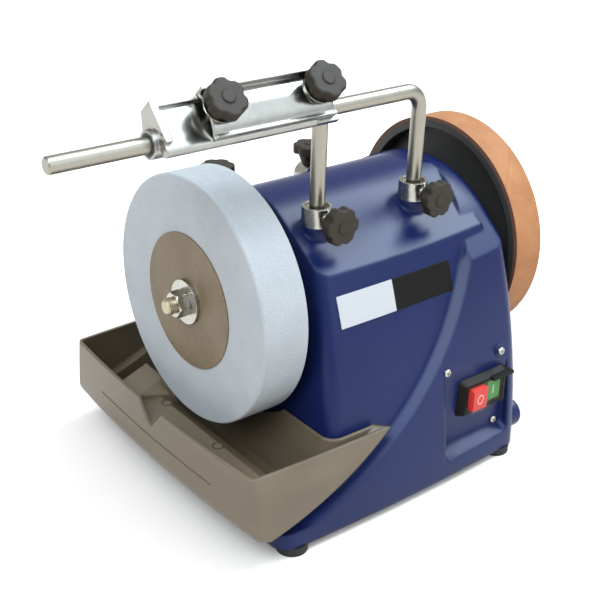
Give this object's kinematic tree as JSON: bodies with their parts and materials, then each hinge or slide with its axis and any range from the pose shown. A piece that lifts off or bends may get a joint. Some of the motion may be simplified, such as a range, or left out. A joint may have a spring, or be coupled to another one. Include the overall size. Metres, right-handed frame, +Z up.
{
  "type": "wet sharpening machine",
  "caption": "Bench wet grinder: water-cooled stone and leather honing wheel on one spindle, water trough, tool support bar and clamping jig.",
  "frame": {"origin": "on the bench under the middle of the whole length and depth", "axes": "+X along the spindle from the stone to the honing wheel, -Y is the front with the switch, +Z up"},
  "size_m": [0.4442, 0.2766, 0.3542],
  "materials": {
    "blue_plastic": "satin moulded",
    "grey_plastic": "satin moulded",
    "black_plastic": "matte moulded",
    "knob_plastic": "matte moulded",
    "grindstone": "fine open grain",
    "disc_metal": "brushed",
    "zinc_plate": "bright zinc plated",
    "shaft_steel": "passivated",
    "bar_nickel": "satin nickel plated",
    "jig_zinc": "polished die casting",
    "leather": "flesh side out",
    "rubber": "matte",
    "bronze": "sintered",
    "sheet_steel": "galvanised",
    "motor_enamel": "satin enamel",
    "motor_alloy": "die cast",
    "lamination": "stacked sheet",
    "can_alloy": "drawn",
    "white_plastic": "moulded",
    "red_button": "translucent",
    "green_button": "translucent",
    "clear_cover": "clear flexible plastic",
    "name_plate": "printed blank",
    "terminal_brass": "stamped"
  },
  "bodies": {
    "machine": {"housing": "blue_plastic", "base_plate": "sheet_steel", "base_screws": "zinc_plate", "feet": "rubber", "foot_screws": "zinc_plate", "post_collars": "zinc_plate", "rear_collars": "zinc_plate", "spindle_bushes": "bronze", "motor_casing": "motor_enamel", "motor_bells": "motor_alloy", "motor_stator": "lamination", "motor_bracket": "sheet_steel", "motor_screws": "zinc_plate", "capacitor": "can_alloy", "capacitor_clip": "sheet_steel", "terminal_block": "white_plastic", "small_screws": "zinc_plate", "switch_enclosure": "black_plastic", "switch_screws": "zinc_plate", "switch_body": "black_plastic", "switch_terminals": "terminal_brass", "switch_bezel": "black_plastic", "switch_cover": "clear_cover", "name_plate": "name_plate"},
    "spindle_set": {"spindle": "shaft_steel", "inner_flange": "zinc_plate", "grindstone": "grindstone", "stone_disc": "disc_metal", "stone_washer": "zinc_plate", "stone_nut": "zinc_plate", "drive_wheel": "black_plastic", "drive_tyre": "rubber", "hone_hub": "black_plastic", "hone_leather": "leather", "hone_washer": "zinc_plate", "hone_nut": "zinc_plate"},
    "motor_rotor_set": {"motor_rotor": "lamination", "drive_roller": "shaft_steel"},
    "trough": {"trough": "grey_plastic"},
    "support": {"support_bar": "bar_nickel"},
    "jig_bushes": {"jig_bushes": "black_plastic"},
    "jig": {"jig_base": "jig_zinc", "jig_studs": "zinc_plate"},
    "jig_clamp": {"jig_clamp": "jig_zinc", "jig_washers": "zinc_plate"},
    "jig_knob_left": {"jig_knob_left": "knob_plastic"},
    "jig_knob_right": {"jig_knob_right": "knob_plastic"},
    "stop_button": {"stop_button": "red_button"},
    "start_button": {"start_button": "green_button"},
    "post_stud_left": {"post_stud_left": "zinc_plate"},
    "post_knob_left": {"post_knob_left": "knob_plastic"},
    "rear_stud_left": {"rear_stud_left": "zinc_plate"},
    "rear_knob_left": {"rear_knob_left": "knob_plastic"},
    "post_stud_right": {"post_stud_right": "zinc_plate"},
    "post_knob_right": {"post_knob_right": "knob_plastic"},
    "rear_stud_right": {"rear_stud_right": "zinc_plate"},
    "rear_knob_right": {"rear_knob_right": "knob_plastic"}
  },
  "joints": [
    {"name": "spindle_spin", "type": "hinge", "parent": "machine", "child": "spindle_set", "pos_m": [0, 0, 0.162], "axis": [1, 0, 0], "continuous": true},
    {"name": "motor_spin", "type": "hinge", "parent": "machine", "child": "motor_rotor_set", "pos_m": [0.08, 0, 0.0911], "axis": [1, 0, 0], "continuous": true},
    {"name": "trough_slide", "type": "slide", "parent": "machine", "child": "trough", "axis": [-1, 0, 0], "range_m": [0, 0.12]},
    {"name": "support_height", "type": "slide", "parent": "machine", "child": "support", "axis": [0, 0, 1], "range_m": [-0.03, 0.03]},
    {"name": "jig_slide", "type": "slide", "parent": "support", "child": "jig_bushes", "axis": [1, 0, 0], "range_m": [-0.06, 0.01]},
    {"name": "jig_swing", "type": "hinge", "parent": "jig_bushes", "child": "jig", "pos_m": [-0.0884, -0.0502, 0.3132], "axis": [1, 0, 0], "range_deg": [-60, 45]},
    {"name": "jig_clamp_lift", "type": "slide", "parent": "jig", "child": "jig_clamp", "axis": [0, -0.7193, 0.6947], "range_m": [0, 0.0025]},
    {"name": "jig_knob_left_turn", "type": "hinge", "parent": "jig_clamp", "child": "jig_knob_left", "pos_m": [-0.1014, -0.06761, 0.33836], "axis": [0, -0.7193, 0.6947], "range_deg": [0, 740]},
    {"name": "jig_knob_right_turn", "type": "hinge", "parent": "jig_clamp", "child": "jig_knob_right", "pos_m": [-0.0174, -0.06761, 0.33836], "axis": [0, -0.7193, 0.6947], "range_deg": [0, 740]},
    {"name": "post_stud_left_screw", "type": "slide", "parent": "machine", "child": "post_stud_left", "axis": [0, -1, 0], "range_m": [0, 0.0025]},
    {"name": "post_knob_left_turn", "type": "hinge", "parent": "post_stud_left", "child": "post_knob_left", "pos_m": [-0.0041, -0.07, 0.2315], "axis": [0, -1, 0], "range_deg": [0, 740]},
    {"name": "rear_stud_left_screw", "type": "slide", "parent": "machine", "child": "rear_stud_left", "axis": [0, 0, 1], "range_m": [0, 0.0025]},
    {"name": "rear_knob_left_turn", "type": "hinge", "parent": "rear_stud_left", "child": "rear_knob_left", "pos_m": [-0.0041, 0.0827, 0.22], "axis": [0, 0, 1], "range_deg": [0, 740]},
    {"name": "post_stud_right_screw", "type": "slide", "parent": "machine", "child": "post_stud_right", "axis": [0, -1, 0], "range_m": [0, 0.0025]},
    {"name": "post_knob_right_turn", "type": "hinge", "parent": "post_stud_right", "child": "post_knob_right", "pos_m": [0.0958, -0.07, 0.2315], "axis": [0, -1, 0], "range_deg": [0, 740]},
    {"name": "rear_stud_right_screw", "type": "slide", "parent": "machine", "child": "rear_stud_right", "axis": [0, 0, 1], "range_m": [0, 0.0025]},
    {"name": "rear_knob_right_turn", "type": "hinge", "parent": "rear_stud_right", "child": "rear_knob_right", "pos_m": [0.0958, 0.0827, 0.22], "axis": [0, 0, 1], "range_deg": [0, 740]},
    {"name": "stop_press", "type": "slide", "parent": "machine", "child": "stop_button", "axis": [0, 1, 0], "range_m": [0, 0.003], "stiffness_N_per_m": 400},
    {"name": "start_press", "type": "slide", "parent": "machine", "child": "start_button", "axis": [0, 1, 0], "range_m": [0, 0.003], "stiffness_N_per_m": 400}
  ],
  "couplings": [
    {"joint": "motor_spin", "follows": "spindle_spin", "ratio": -11.607},
    {"joint": "jig_knob_left_turn", "follows": "jig_clamp_lift", "rad_per_m": 5026.5},
    {"joint": "jig_knob_right_turn", "follows": "jig_clamp_lift", "rad_per_m": 5026.5},
    {"joint": "post_knob_left_turn", "follows": "post_stud_left_screw", "rad_per_m": 5026.5},
    {"joint": "rear_knob_left_turn", "follows": "rear_stud_left_screw", "rad_per_m": 5026.5},
    {"joint": "post_knob_right_turn", "follows": "post_stud_right_screw", "rad_per_m": 5026.5},
    {"joint": "rear_knob_right_turn", "follows": "rear_stud_right_screw", "rad_per_m": 5026.5}
  ]
}
